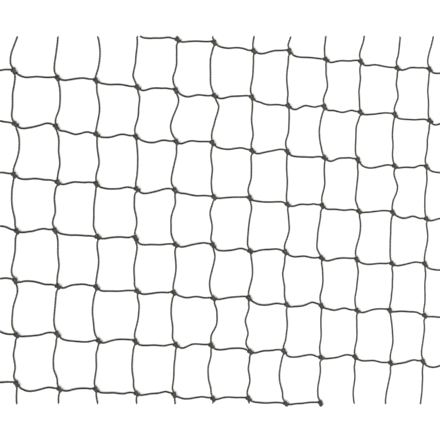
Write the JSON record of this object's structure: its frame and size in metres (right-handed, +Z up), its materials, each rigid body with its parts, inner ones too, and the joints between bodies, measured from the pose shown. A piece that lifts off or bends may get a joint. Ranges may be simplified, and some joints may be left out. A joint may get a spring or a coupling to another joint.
{
  "type": "cat protection net",
  "caption": "Cut length of knotted twine netting with square mesh openings, for closing a balcony or window against a cat's fall or escape.",
  "frame": {"origin": "middle of the netting's bounding box, on the surface that it lies on", "axes": "+X along the rows of bars and the longest side, +Z up off the surface, the columns of bars run roughly along Y and lean to -X going up +Y"},
  "size_m": [0.4043, 0.2367, 0.0022],
  "materials": {
    "twine": "dark olive-grey twisted polyethylene twine, satin, a little lighter on the crowns of the knots"
  },
  "bodies": {
    "root": {"net": "twine"}
  },
  "joints": []
}
